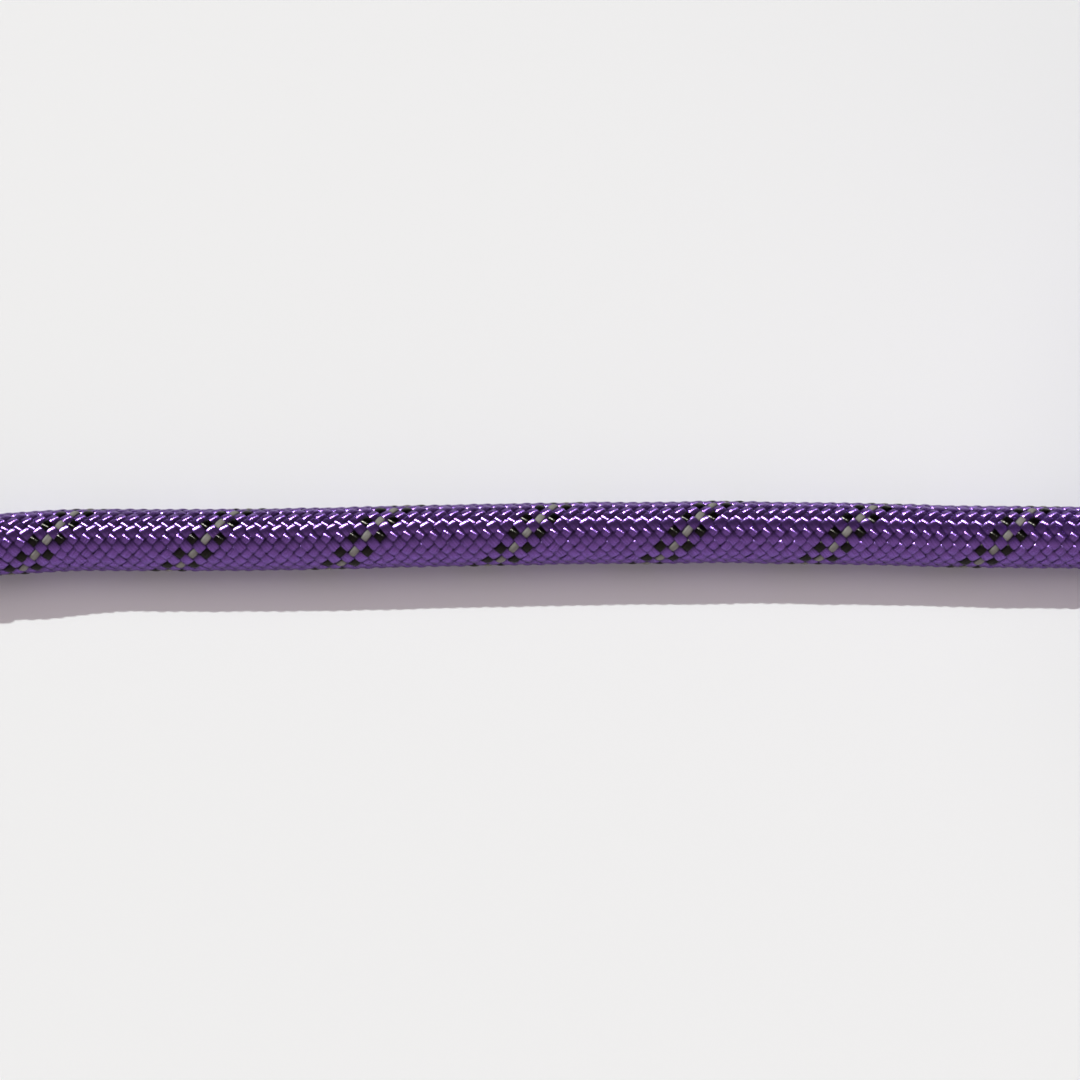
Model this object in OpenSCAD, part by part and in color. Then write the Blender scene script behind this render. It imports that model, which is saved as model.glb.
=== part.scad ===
// Dynamic climbing rope, 10 mm kernmantle, a 10 m length.
// One straight stretch shows the whole build-up: a braided sheath over twelve twisted core
// strands and a marker tape. The rest of the rope is put away as a hank in line with it:
// three nested layers of long loops, drawn in at the waist by a strap.
// Millimetres. X runs along the rope, Z is up, and the ground is at z = 0.

/* [Rope] */
// Diameter over the sheath
rope_d = 10; // [8:0.1:11]
// Thickness of the braided sheath
sheath_wall = 1.1; // [0.8:0.05:1.4]
// Gap between neighbouring core strands
strand_gap = 0.08; // [0.04:0.01:0.15]
// Thickness of the marker tape
tape_t = 0.12; // [0.08:0.01:0.18]
// Width of the marker tape
tape_w = 2.4; // [1.5:0.1:3]
// Gap between the core, the tape and the sheath
core_gap = 0.05; // [0.03:0.01:0.1]

/* [Rope ends] */
// Length of the shrunk sleeve on each end
sleeve_len = 18; // [12:0.5:20]
// Thickness of the shrunk sleeve
sleeve_wall = 0.4; // [0.2:0.05:0.6]
// Gap between the sleeve and the sheath
sleeve_gap = 0.05; // [0.02:0.01:0.1]
// Length of the fused end
fused_len = 3; // [2:0.25:5]
// How much of the fused end the sleeve covers
fused_cover = 1; // [0.5:0.25:2]

/* [Hank] */
// Radius of the innermost fold, at the middle of the rope
fold_r = 30; // [30:1:34]
// Distance from the middle of the hank to the centre of each fold
fold_spread = 88; // [84:0.5:96]
// Gap between loops that lie side by side
lane_gap = 0.45; // [0.45:0.05:2]
// Gap between one layer of loops and the next
layer_gap = 0.5; // [0.45:0.05:2]
// Loops in each layer
loops = 5; // [3:1:6]
// Depth to which the lowest runs are pressed flat on the ground
ground_flat = 1; // [0.5:0.1:1.2]
// How far short of the fold the tail stops
tail_back = 9; // [5:1:20]

/* [Tie] */
// Width of the strap
tie_w = 16; // [12:1:18]
// Thickness of the strap
tie_t = 1.6; // [1:0.1:2.5]
// Gap between the strap and the bundle
tie_gap = 0.3; // [0.2:0.05:0.6]
// Length of strap that laps over itself on top
tie_lap = 34; // [20:1:40]
// Inner radius of the strap's corners
tie_corner = 4; // [2:0.5:5]

/* [Hidden] */
STRANDS = 12;
INNER_STRANDS = 3;

$fn = 64;
LAYERS = 3;
LEAD_SIDES = 12;
STRAND_SIDES = 8;
HANK_SIDES = 6;
BOTTOM_RINGS = 4;
RINGS_BELOW = 3;
RINGS_ABOVE = 4;
VALLEY_RINGS = 5;
FOLD_RINGS = RINGS_BELOW + RINGS_ABOVE + 1;
PER_LOOP = BOTTOM_RINGS + FOLD_RINGS + VALLEY_RINGS + FOLD_RINGS - 1;

rope_r = rope_d / 2;
bore_r = rope_r - sheath_wall;
sleeve_bore_r = rope_r + sleeve_gap;
sleeve_r = sleeve_bore_r + sleeve_wall;
end_z = sleeve_r;
tape_r = bore_r - core_gap - tape_t;
bundle_r = tape_r - core_gap;

// Core: three strands in the middle and nine round them. Nine in a ring would touch at 1.46
// strand widths from the middle, and the three inside need a little more.
OUTER_STRANDS = STRANDS - INNER_STRANDS;
RING_TO_STRAND = 1.56;
strand_d = bundle_r / (RING_TO_STRAND + 0.5) - strand_gap / 2;
inner_ring = (strand_d + strand_gap) / sqrt(3);
outer_ring = RING_TO_STRAND * (strand_d + strand_gap / 2);

// The straight stretch, as [along the rope, sideways]: it wanders a little, as rope does.
LEAD_WAVE = [
    [0, -1], [12, -1], [24, -1], [31, -0.5], [38, 0], [48, 0], [58, 0], [69, 0.1],
    [80, 0.3], [90, 0.6], [100, 0.8], [110, 1], [120, 1.2], [130, 1.2], [141, 1.4],
    [150, 1.2], [160, 1.1], [169, 0.9], [178, 0.6], [190, 0.5], [198, 0.4],
    [202, 0.2], [206, 0], [216, 0]
];
END_FLAT = 24;
END_FALL = 14;
lead_len = LEAD_WAVE[len(LEAD_WAVE) - 1][0];

// The hank's outline and the places of its parts.
WAIST_CLEAR = 0.1;
VALLEY_CLEAR = 1;
TAIL_CLEAR = 0.15;
lane_step = rope_d + lane_gap;
layer_step = rope_d + layer_gap;
outer_grow = (LAYERS - 1) * layer_step;
hank_half = fold_spread + fold_r + outer_grow + rope_r;
whole_len = lead_len + 2 * hank_half;
lead_x = -whole_len / 2;
hank_x = whole_len / 2 - hank_half;
hank_y = -loops * lane_step / 2;
waist_rise = tie_t + ground_flat + WAIST_CLEAR;
low_z = rope_r - ground_flat;
inner_z = low_z + outer_grow;
waist_open = layer_step + waist_rise;
valley_r = fold_r + outer_grow + VALLEY_CLEAR;
centre_drop = waist_open + valley_r - fold_r;
centre_gap = sqrt(fold_spread * fold_spread + centre_drop * centre_drop);
slope = asin((fold_r + valley_r) / centre_gap) - atan2(centre_drop, fold_spread);
tail_end = fold_spread - tail_back;
tail_shift = sleeve_wall + sleeve_gap + TAIL_CLEAR;
SMALL = 0.001;

function strand_name(k) = str("core_strand_", k < 10 ? "0" : "", k);
function unit(v) = v / norm(v);
function cosine_rise(x, half) = abs(x) >= half ? 0 : (1 + cos(180 * x / half)) / 2;

// ---- Routes ----

// Height of the straight stretch: its end lies on the sleeve, the rest on the ground.
function lead_z(s) = rope_r
    + (end_z - rope_r) * (s <= END_FLAT ? 1 : s >= END_FLAT + END_FALL ? 0
        : (1 + cos(180 * (s - END_FLAT) / END_FALL)) / 2);

LEAD_ROUTE = [for (p = LEAD_WAVE) if (p[0] >= fused_len || p[0] == 0)
    [lead_x + max(p[0], fused_len), hank_y + p[1], lead_z(p[0])]];

// One loop in its own plane, as [x, z] for ring i of PER_LOOP, grown by g from the innermost.
// Bottom run, right fold from below to the slope, valley at the waist, left fold.
function fold_angle(j) = j <= RINGS_BELOW ? -90 + 90 * j / RINGS_BELOW
    : (90 + slope) * (j - RINGS_BELOW) / RINGS_ABOVE;
function bottom_x(i) = fold_spread * (2 * i / BOTTOM_RINGS - 1);
function right_fold(j, g) = [fold_spread + (fold_r + g) * cos(fold_angle(j)),
    inner_z + fold_r + (fold_r + g) * sin(fold_angle(j))];
function valley(j, g) = let (a = slope * (1 - 2 * j / (VALLEY_RINGS - 1)))
    [(valley_r - g) * sin(a), inner_z + waist_open + valley_r - (valley_r - g) * cos(a)];
function mirrored(p) = [-p[0], p[1]];
function loop_point(i, g) =
    i < BOTTOM_RINGS ? [bottom_x(i), inner_z - g + waist_rise * cosine_rise(bottom_x(i), fold_spread)]
    : i < BOTTOM_RINGS + FOLD_RINGS ? right_fold(i - BOTTOM_RINGS, g)
    : i < BOTTOM_RINGS + FOLD_RINGS + VALLEY_RINGS ? valley(i - BOTTOM_RINGS - FOLD_RINGS, g)
    : mirrored(right_fold(PER_LOOP - i, g));

// Ring n of the winding. Each layer crosses the hank sideways while its loops go round, and
// the step to the next layer in is made along the bottom run that follows.
function layer_of(n) = floor(n / (loops * PER_LOOP));
function grow_of(n) = let (i = n % PER_LOOP, layer = layer_of(n), first = n % (loops * PER_LOOP) == i,
    part = first && layer > 0 ? min(1, i / BOTTOM_RINGS) : 1)
    (LAYERS - 1 - (layer - 1 + part)) * layer_step;
function lane_of(n) = let (i = n % PER_LOOP, layer = layer_of(n),
    turn = floor(n / PER_LOOP) - layer * loops,
    t = turn + max(0, i - BOTTOM_RINGS) / (PER_LOOP - BOTTOM_RINGS))
    layer % 2 == 0 ? t : loops - t;
function wound(n) = let (p = loop_point(n % PER_LOOP, min(grow_of(n), outer_grow)))
    [hank_x + p[0], hank_y + lane_step * lane_of(n), p[1]];

// On its way in the rope is pressed flat bit by bit, as [along the rope, share of the flat].
ENTRY_FLAT = [[0, 0], [10, 0], [33, 0.6]];
ENTRY = [for (p = ENTRY_FLAT) [hank_x - hank_half + p[0], hank_y, rope_r - ground_flat * p[1]]];
TURNS_END = LAYERS * loops * PER_LOOP;
tail_y = hank_y + lane_step * (LAYERS % 2 == 0 ? 0 : loops);
TAIL = [
    [hank_x - fold_spread, tail_y, inner_z],
    [hank_x - fold_spread / 2, tail_y, inner_z + waist_rise / 2],
    [hank_x, tail_y, inner_z + waist_rise],
    [hank_x + fold_spread / 4, tail_y + tail_shift / 2, inner_z + waist_rise],
    [hank_x + tail_end - sleeve_len - fused_len, tail_y + tail_shift, inner_z + waist_rise],
    [hank_x + tail_end - fused_len, tail_y + tail_shift, inner_z + waist_rise]
];
HANK_ROUTE = concat(ENTRY, [for (n = [0:TURNS_END - 1]) wound(n)], TAIL);

// ---- Sweeping ----

function direction(path, i) = let (last = len(path) - 1)
    i == 0 ? unit(path[1] - path[0])
    : i == last ? unit(path[last] - path[last - 1])
    : unit(unit(path[i + 1] - path[i]) + unit(path[i] - path[i - 1]));
function sideways(t) = unit([0, 1, 0] - t[1] * t);

// A ring of points round path[i]: the section's [sideways, upwards] points in its cross plane.
function ring(path, i, section) = let (t = direction(path, i), s = sideways(t), u = cross(t, s))
    [for (q = section) path[i] + q[0] * s + q[1] * u];
function round_section(r, sides, at = [0, 0], turn = 0) =
    [for (k = [0:sides - 1]) at + r * [cos(360 * k / sides + turn), sin(360 * k / sides + turn)]];
function skin(rings, sides, start, flip) = [for (i = [0:rings - 2]) for (k = [0:sides - 1])
    let (a = start + i * sides + k, b = start + i * sides + (k + 1) % sides, c = a + sides, d = b + sides)
    each (flip ? [[a, b, c], [b, d, c]] : [[a, c, b], [b, c, d]])];

module swept(path, section) {
    n = len(section);
    rings = len(path);
    points = [for (i = [0:rings - 1]) each ring(path, i, section)];
    first = [for (k = [1:n - 2]) [0, k, k + 1]];
    last = [for (k = [1:n - 2]) let (e = (rings - 1) * n) [e, e + k + 1, e + k]];
    polyhedron(points, concat(first, skin(rings, n, 0, false), last));
}

module swept_pipe(path, outer, inner) {
    n = len(outer);
    rings = len(path);
    half = rings * n;
    e = (rings - 1) * n;
    points = concat([for (i = [0:rings - 1]) each ring(path, i, outer)],
        [for (i = [0:rings - 1]) each ring(path, i, inner)]);
    caps = [for (k = [0:n - 1]) let (m = (k + 1) % n) each [
        [k, m, half + k], [m, half + m, half + k],
        [e + k, half + e + k, e + m], [e + m, half + e + k, half + e + m]]];
    polyhedron(points, concat(skin(rings, n, 0, false), skin(rings, n, half, true), caps));
}

function flats_down(sides) = 180 / sides;

// ---- The straight stretch ----

module sheath_lead() {
    color("rebeccapurple")
        swept_pipe(LEAD_ROUTE, round_section(rope_r, LEAD_SIDES, turn = flats_down(LEAD_SIDES)),
            round_section(bore_r / cos(180 / LEAD_SIDES), LEAD_SIDES, turn = flats_down(LEAD_SIDES)));
}

// Strand k of the core: the first three lie in the middle, the others round them.
module core_strand(k) {
    in_middle = k <= INNER_STRANDS;
    a = in_middle ? 360 * (k - 1) / INNER_STRANDS + 30
        : 360 * (k - INNER_STRANDS - 0.5) / OUTER_STRANDS + 30;
    at = (in_middle ? inner_ring : outer_ring) * [cos(a), sin(a)];
    color(k % 2 == 0 ? "white" : "ghostwhite")
        swept(LEAD_ROUTE, round_section(strand_d / 2, STRAND_SIDES, at));
}

// A flat tape bent round the core, under the sheath.
module marker_tape() {
    half_a = tape_w / 2 / tape_r * 180 / PI;
    steps = 4;
    arc = [for (j = [0:steps]) 90 - half_a + 2 * half_a * j / steps];
    section = concat([for (a = arc) (tape_r + tape_t) * [cos(a), sin(a)]],
        [for (j = [steps:-1:0]) tape_r * [cos(arc[j]), sin(arc[j])]]);
    color("gold") swept_strip(LEAD_ROUTE, section, steps);
}

// A bent strip: its end faces are cut into quads, because its section isn't convex.
module swept_strip(path, section, steps) {
    n = len(section);
    rings = len(path);
    e = (rings - 1) * n;
    points = [for (i = [0:rings - 1]) each ring(path, i, section)];
    caps = [for (j = [0:steps - 1]) let (a = j, b = j + 1, c = n - 2 - j, d = n - 1 - j) each [
        [a, b, c], [a, c, d], [e + a, e + c, e + b], [e + a, e + d, e + c]]];
    polyhedron(points, concat(skin(rings, n, 0, false), caps));
}

// ---- The hank ----

// The least gap between stretches of the route that aren't neighbours along it. The section
// has corners every 60 degrees, from the Y direction on, so its half width follows the angle.
APART = 8;
function with_middles(path) = [for (i = [0:len(path) - 2]) each [path[i], (path[i] + path[i + 1]) / 2]];
function half_width(v) = let (a = acos(min(1, abs(v[1]) / norm(v))), f = a > 60 ? a - 60 : a)
    rope_r * cos(min(f, 60 - f));
function clear(v) = norm(v) > 2 * rope_d ? rope_d : norm(v) - 2 * half_width(v);
function least_gap(points, apart) = min([for (i = [0:len(points) - 1 - apart])
    min([for (j = [i + apart:len(points) - 1]) clear(points[i] - points[j])])]);
function sum(v) = [for (i = 0, t = 0; i <= len(v); t = t + (i < len(v) ? v[i] : 0), i = i + 1) t][len(v)];
function metres(path) = sum([for (i = [1:len(path) - 1]) norm(path[i] - path[i - 1])]) / 1000;

module rope_hank() {
    echo(least_gap_mm = least_gap(with_middles(HANK_ROUTE), 2 * APART));
    echo(hank_m = metres(HANK_ROUTE), lead_m = metres(LEAD_ROUTE));
    echo(size = [whole_len, loops * lane_step + rope_d, inner_z + 2 * fold_r + outer_grow + rope_r]);
    color("indigo") intersection() {
        swept(HANK_ROUTE, round_section(rope_r, HANK_SIDES));
        translate([hank_x - 2 * hank_half, -2 * hank_half, 0]) cube(4 * hank_half);
    }
}

// ---- The ends ----

// Melted and rounded end, a little thinner than the rope, over which the sleeve is shrunk. It
// faces along -X.
FUSED_INSET = 0.1;
module fused_end() {
    fused_r = rope_r - FUSED_INSET;
    round_r = fused_len - fused_cover;
    rotate([0, -90, 0]) rotate_extrude()
        polygon(concat([[0, 0], [fused_r, 0]],
            [for (a = [0:15:90]) [fused_r - round_r + round_r * cos(a), fused_cover + round_r * sin(a)]],
            [[0, fused_len]]));
}

module end_sleeve() {
    rotate([0, 90, 0]) difference() {
        cylinder(h = sleeve_len, r = sleeve_r);
        translate([0, 0, -SMALL]) cylinder(h = sleeve_len + 2 * SMALL, r = sleeve_bore_r);
    }
}

module at_lead_end(shift = 0) {
    translate([lead_x + fused_len + shift, hank_y + LEAD_WAVE[0][1], end_z]) children();
}

module at_hank_end(shift = 0) {
    translate([hank_x + tail_end - fused_len + shift, tail_y + tail_shift, inner_z + waist_rise])
        mirror([1, 0, 0]) children();
}

module fused_end_lead() { color("dimgray") at_lead_end() fused_end(); }
module fused_end_hank() { color("dimgray") at_hank_end() fused_end(); }
module end_sleeve_lead() { color("black") at_lead_end(-fused_cover) end_sleeve(); }
module end_sleeve_hank() { color("black") at_hank_end(fused_cover) end_sleeve(); }

// ---- The tie ----

module rounded_rect(w, h, r) {
    translate([-w / 2 + r, 0]) square([w - 2 * r, h]);
    translate([-w / 2, r]) square([w, h - 2 * r]);
    for (x = [-1, 1]) for (z = [r, h - r]) translate([x * (w / 2 - r), z]) circle(r);
}

module hank_tie() {
    in_w = loops * lane_step + rope_d + 2 * tie_gap;
    // The top runs climb away from the waist on both sides, and the strap clears them at its edges.
    edge_rise = tie_w / 2 * tan(slope / (VALLEY_RINGS - 1));
    top_run = inner_z + waist_open + outer_grow + rope_r * cos(180 / HANK_SIDES);
    in_h = top_run + edge_rise + tie_gap - tie_t;
    color("darkslategray") translate([hank_x - tie_w / 2, hank_y + loops * lane_step / 2, 0])
        rotate([90, 0, 90]) linear_extrude(tie_w) {
            difference() {
                rounded_rect(in_w + 2 * tie_t, in_h + 2 * tie_t, tie_corner + tie_t);
                translate([0, tie_t]) rounded_rect(in_w, in_h, tie_corner);
            }
            translate([-tie_lap / 2, in_h + 2 * tie_t - SMALL]) square([tie_lap, tie_t + SMALL]);
        }
}

sheath_lead();
core_strand(1);  // core_strand_01
core_strand(2);  // core_strand_02
core_strand(3);  // core_strand_03
core_strand(4);  // core_strand_04
core_strand(5);  // core_strand_05
core_strand(6);  // core_strand_06
core_strand(7);  // core_strand_07
core_strand(8);  // core_strand_08
core_strand(9);  // core_strand_09
core_strand(10);  // core_strand_10
core_strand(11);  // core_strand_11
core_strand(12);  // core_strand_12
marker_tape();
rope_hank();
fused_end_lead();
fused_end_hank();
end_sleeve_lead();
end_sleeve_hank();
hank_tie();
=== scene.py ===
# %% [markdown]
# # A dynamic climbing rope, strand by strand
#
# A kernmantle rope is two ropes in one: a core of twisted cords carries the load, and a braided
# sheath of bright yarn guards it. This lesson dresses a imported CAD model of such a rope. The CAD
# nodes give every place and size, in metres, and Blender adds what the eye sees: the woven yarns,
# their sheen, the melted ends, the shrunk sleeves and the strap round the put-away part.

# %% Load the frame
import math

import bpy
import numpy as np
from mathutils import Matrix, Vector


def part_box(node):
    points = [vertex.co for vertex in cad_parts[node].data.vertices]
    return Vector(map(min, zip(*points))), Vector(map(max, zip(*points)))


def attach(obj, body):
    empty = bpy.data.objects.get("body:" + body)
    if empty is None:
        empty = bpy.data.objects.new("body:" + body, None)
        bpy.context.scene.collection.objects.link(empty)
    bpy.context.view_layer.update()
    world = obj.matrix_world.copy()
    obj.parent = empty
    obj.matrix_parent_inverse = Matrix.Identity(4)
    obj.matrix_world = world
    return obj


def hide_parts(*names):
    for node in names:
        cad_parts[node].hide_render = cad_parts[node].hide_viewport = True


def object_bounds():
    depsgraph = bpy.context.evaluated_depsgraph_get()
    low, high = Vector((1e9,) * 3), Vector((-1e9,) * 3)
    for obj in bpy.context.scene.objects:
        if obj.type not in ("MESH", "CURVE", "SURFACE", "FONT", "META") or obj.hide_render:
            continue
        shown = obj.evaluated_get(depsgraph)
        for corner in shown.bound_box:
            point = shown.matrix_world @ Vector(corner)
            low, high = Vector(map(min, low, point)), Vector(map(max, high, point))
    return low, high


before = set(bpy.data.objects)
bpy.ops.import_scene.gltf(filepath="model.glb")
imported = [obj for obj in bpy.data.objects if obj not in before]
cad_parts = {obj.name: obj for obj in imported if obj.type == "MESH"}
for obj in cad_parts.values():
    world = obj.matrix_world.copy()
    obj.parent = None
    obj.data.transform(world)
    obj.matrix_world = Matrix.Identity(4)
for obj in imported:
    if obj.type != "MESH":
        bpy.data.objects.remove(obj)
cad_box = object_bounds()
print("CAD box in metres:", [[round(v, 4) for v in corner] for corner in cad_box])

# %% [markdown]
# ## Sizes
#
# Few numbers drive the rope. The diameter is 10 mm. The sheath has 24 bands of yarn, 12 wound to
# the right and 12 to the left, and each goes once round the rope in 25.3 mm. Everything else about
# the weave follows: bands of one direction cross those of the other at even steps of a 24th turn.

# %% Sizes of the rope, in metres
MM = 0.001
ROPE_D = 10 * MM
ROPE_R = ROPE_D / 2
PITCH = 25.3 * MM  # length of rope in which a band of yarn goes once round
BANDS = 12  # bands in each direction
CELL = PITCH / BANDS  # a band comes to the top once in this length of rope
print("One cell of the weave is", round(CELL / MM, 3), "mm long")

# %% Places that come from the frame
hank_low = np.array(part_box("rope_hank")[0])
tie_low, tie_high = (np.array(c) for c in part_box("hank_tie"))
SLEEVE_LOW, SLEEVE_HIGH = (np.array(c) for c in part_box("end_sleeve_lead"))

SLEEVE_R = (SLEEVE_HIGH[2] - SLEEVE_LOW[2]) / 2
LEAD_X = cad_box[0][0]  # outer face of the free end
FACE_X = hank_low[0]  # where the straight stretch becomes the hank
HANK_X = (tie_low[0] + tie_high[0]) / 2
print("Straight stretch:", round((FACE_X - LEAD_X) / MM, 1), "mm; waist at", round(HANK_X / MM, 1))

# %% [markdown]
# ## The camera
#
# The rope lies on a pale table and is seen from above and a little from the front, close up, so
# that it crosses the whole picture and both of its ends lie outside. A long lens keeps the
# perspective flat.

# %% Camera above the straight stretch
VIEW_W = 172 * MM  # width of the table that the picture shows
VIEW_X = LEAD_X + 112 * MM  # so that the free end stays outside on the left
VIEW_Y = -26.125 * MM  # the straight stretch lies here, in front of the hank's middle
TILT = math.radians(20)  # how far the camera leans forward from straight above
LENS, SENSOR = 100.0, 36.0  # focal length and width of the film, in mm
camera_data = bpy.data.cameras.new("camera")
camera_data.lens = LENS
camera_data.sensor_width = SENSOR
camera = bpy.data.objects.new("camera", camera_data)
bpy.context.scene.collection.objects.link(camera)
distance = VIEW_W * LENS / SENSOR
camera.location = (VIEW_X, VIEW_Y - distance * math.sin(TILT), ROPE_R + distance * math.cos(TILT))
camera.rotation_euler = (TILT, 0, 0)
bpy.context.scene.camera = camera
print("Camera", round(camera.location.z, 3), "m above the table")

# %% [markdown]
# ## Colours and nodes
#
# Colours are written as hex values, as a dye chart gives them, and turned to linear light once.
# One small function adds a node with its settings and its links.


# %% Helpers for materials
def linear(hex_value):
    """sRGB hex to linear RGBA: c/12.92 below 0.04045, else ((c + 0.055) / 1.055) ** 2.4."""
    srgb = [int(hex_value[i:i + 2], 16) / 255 for i in (1, 3, 5)]
    return (*(c / 12.92 if c <= 0.04045 else ((c + 0.055) / 1.055) ** 2.4 for c in srgb), 1.0)


def new_material(name):
    """An empty node material with its output node."""
    material = bpy.data.materials.new(name)
    material.use_nodes = True
    material.node_tree.nodes.clear()
    return material, material.node_tree.nodes.new("ShaderNodeOutputMaterial")


def add(owner, kind, inputs=None, **settings):
    """Adds a node to a material or a world. An input is a value, a socket, or a node, whose first
    output is then taken; a setting is an attribute."""
    node = owner.node_tree.nodes.new("ShaderNode" + kind)
    for key, value in settings.items():
        setattr(node, key, value)
    for key, value in (inputs or {}).items():
        socket = node.inputs[key]
        if isinstance(value, bpy.types.Node):
            value = value.outputs[0]
        if isinstance(value, bpy.types.NodeSocket):
            owner.node_tree.links.new(value, socket)
        else:
            socket.default_value = value
    return node


def finish_with(material, output, shader):
    """Links a shader to the material's surface and says what was made."""
    material.node_tree.links.new(shader.outputs[0], output.inputs["Surface"])
    print("Material", material.name, "with", len(material.node_tree.nodes), "nodes")
    return material


print("Mid grey in linear light:", round(linear("#808080")[0], 3))

# %% [markdown]
# ## Where the rope runs
#
# The straight stretch wanders by a millimetre, as a rope that was coiled does. Its points are the
# ones that the CAD tube follows. A smooth curve is laid through them: a Catmull-Rom spline, which
# passes through each point with the slope of the line between that point's neighbours.

# %% Points of the straight stretch, in millimetres: along, sideways
LEAD_WAVE = [
    (0, -1), (12, -1), (24, -1), (31, -0.5), (38, 0), (48, 0), (58, 0), (69, 0.1),
    (80, 0.3), (90, 0.6), (100, 0.8), (110, 1), (120, 1.2), (130, 1.2), (141, 1.4),
    (150, 1.2), (160, 1.1), (169, 0.9), (178, 0.6), (190, 0.5), (198, 0.4),
    (202, 0.2), (206, 0), (216, 0),
]
FUSED_LEN = 3.0  # the yarn starts behind the melted disc
END_FLAT = 24.0  # so far the end is held up by its sleeve,
END_FALL = 14.0  # and in this length it comes down to the table
print(len(LEAD_WAVE), "points in", LEAD_WAVE[-1][0], "mm")


# %% Curves through points
def lead_height(along):
    """Height of the middle, in mm: the sleeve's radius as far as END_FLAT, then half a cosine wave
    down to the rope's own radius."""
    end_z = SLEEVE_R / MM
    fall = np.clip((along - END_FLAT) / END_FALL, 0, 1)
    return ROPE_R / MM + (end_z - ROPE_R / MM) * (1 + np.cos(np.pi * fall)) / 2


def spline(points, steps):
    """Catmull-Rom: p(t) = sum of four neighbours times cubics of t, for each pair of points."""
    p = np.vstack([2 * points[0] - points[1], points, 2 * points[-1] - points[-2]])
    t = np.linspace(0, 1, steps, endpoint=False)[None, :, None]
    a, b, c, d = (p[i:len(p) - 3 + i, None, :] for i in range(4))
    curve = 0.5 * (2 * b + (c - a) * t + (2 * a - 5 * b + 4 * c - d) * t**2
                   + (3 * b - a - 3 * c + d) * t**3)
    return np.vstack([curve.reshape(-1, points.shape[1]), points[-1]])


def run_of(path):
    """Running length at each point of a path."""
    return np.concatenate([[0], np.cumsum(np.linalg.norm(np.diff(path, axis=0), axis=1))])


def even(path, step):
    """The same path with points at an even distance, worked out from its running length."""
    run = run_of(path)
    count = max(2, int(round(run[-1] / step)) + 1)
    at = np.linspace(0, run[-1], count)
    return np.stack([np.interp(at, run, path[:, k]) for k in range(3)], axis=1)


print("The free end's middle lies", round(float(lead_height(0)), 2), "mm above the table")

# %% The straight stretch as a path
lead_wave = np.array(LEAD_WAVE, float)
lead_wave[0, 0] = FUSED_LEN
lead_points = np.stack([LEAD_X + lead_wave[:, 0] * MM, VIEW_Y + lead_wave[:, 1] * MM,
                        lead_height(lead_wave[:, 0]) * MM], axis=1)
CURVE_STEPS = 12  # between two of the points
LEAD_STEP = 1 * MM  # from one point of the finished path to the next
lead_path = even(spline(lead_points, CURVE_STEPS), LEAD_STEP)
print("Straight stretch:", round(run_of(lead_path)[-1], 4), "m long")

# %% [markdown]
# ## The hank
#
# The rest of the 10 m is folded into long loops, five beside each other in each of three layers.
# One loop, seen from the side, is a straight run on the table, a round fold at each end and a top
# run that the strap draws down at the waist. The outer layers run parallel to the inner one, so
# each fold gets a larger radius and the valley at the waist a smaller one.

# %% The hank's own sizes, in millimetres
FOLD_R = 30.0  # radius of the innermost layer's folds
FOLD_SPREAD = 88.0  # from the waist to the centre of a fold
LANE_STEP = 10.45  # from a loop to the next one beside it
LAYER_STEP = 10.5  # from a layer to the next one round it
LOOPS = 5  # in each layer
LAYERS = 3
GROUND_FLAT = 1.0  # how deep the lowest runs are pressed flat
TIE_T = 1.6  # thickness of the strap
WAIST_GAP = 0.1  # between the strap and the runs on it
VALLEY_MORE = 1.0  # the valley is rounder than the outermost fold by this
print("Loops:", LAYERS * LOOPS)

# %% Heights and angles that follow, in millimetres
OUTER_GROW = (LAYERS - 1) * LAYER_STEP  # the outermost layer's distance from the innermost
WAIST_RISE = TIE_T + GROUND_FLAT + WAIST_GAP
INNER_Z = ROPE_R / MM - GROUND_FLAT + OUTER_GROW
WAIST_OPEN = LAYER_STEP + WAIST_RISE  # between bottom run and valley of the innermost layer
VALLEY_R = FOLD_R + OUTER_GROW + VALLEY_MORE
CENTRE_DROP = WAIST_OPEN + VALLEY_R - FOLD_R
SLOPE = (math.asin((FOLD_R + VALLEY_R) / math.hypot(FOLD_SPREAD, CENTRE_DROP))
         - math.atan2(CENTRE_DROP, FOLD_SPREAD))
print("The slopes between fold and valley lean by", round(math.degrees(SLOPE), 1), "degrees")

# %% [markdown]
# ## One loop, and the way from loop to loop
#
# A loop is told in steps, so that one number says how far round a point lies. The rope drifts from
# lane to lane while it goes round, and steps in to the next layer along a bottom run. A running
# average then takes away every corner, as the stiffness of a rope does.

# %% A loop in 24 steps: bottom 4, fold 7, slope 1, valley 4, slope 1, fold 7
STEPS = 24
BOTTOM, FOLD, DOWN, VALLEY = 4, 11, 12, 16  # the steps at which these parts are done
FOLD_LOW, FOLD_HIGH = 3, 4  # a fold's steps below and above its outermost point
FOLD_STEPS = FOLD_LOW + FOLD_HIGH
VALLEY_STEPS = VALLEY - DOWN


def fold_point(j, grow):
    """Right fold at step j of 7: an arc from straight below (-90 degrees) past the top."""
    angle = np.where(j <= FOLD_LOW, -math.pi / 2 + math.pi / 2 / FOLD_LOW * j,
                     (math.pi / 2 + SLOPE) * (j - FOLD_LOW) / FOLD_HIGH)
    return (FOLD_SPREAD + (FOLD_R + grow) * np.cos(angle),
            INNER_Z + FOLD_R + (FOLD_R + grow) * np.sin(angle))


def valley_point(j, grow):
    """Valley at step j of 4: an arc about a centre above the waist."""
    angle = SLOPE * (1 - 2 * j / VALLEY_STEPS)
    radius = VALLEY_R - grow
    return radius * np.sin(angle), INNER_Z + WAIST_OPEN + VALLEY_R - radius * np.cos(angle)


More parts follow.
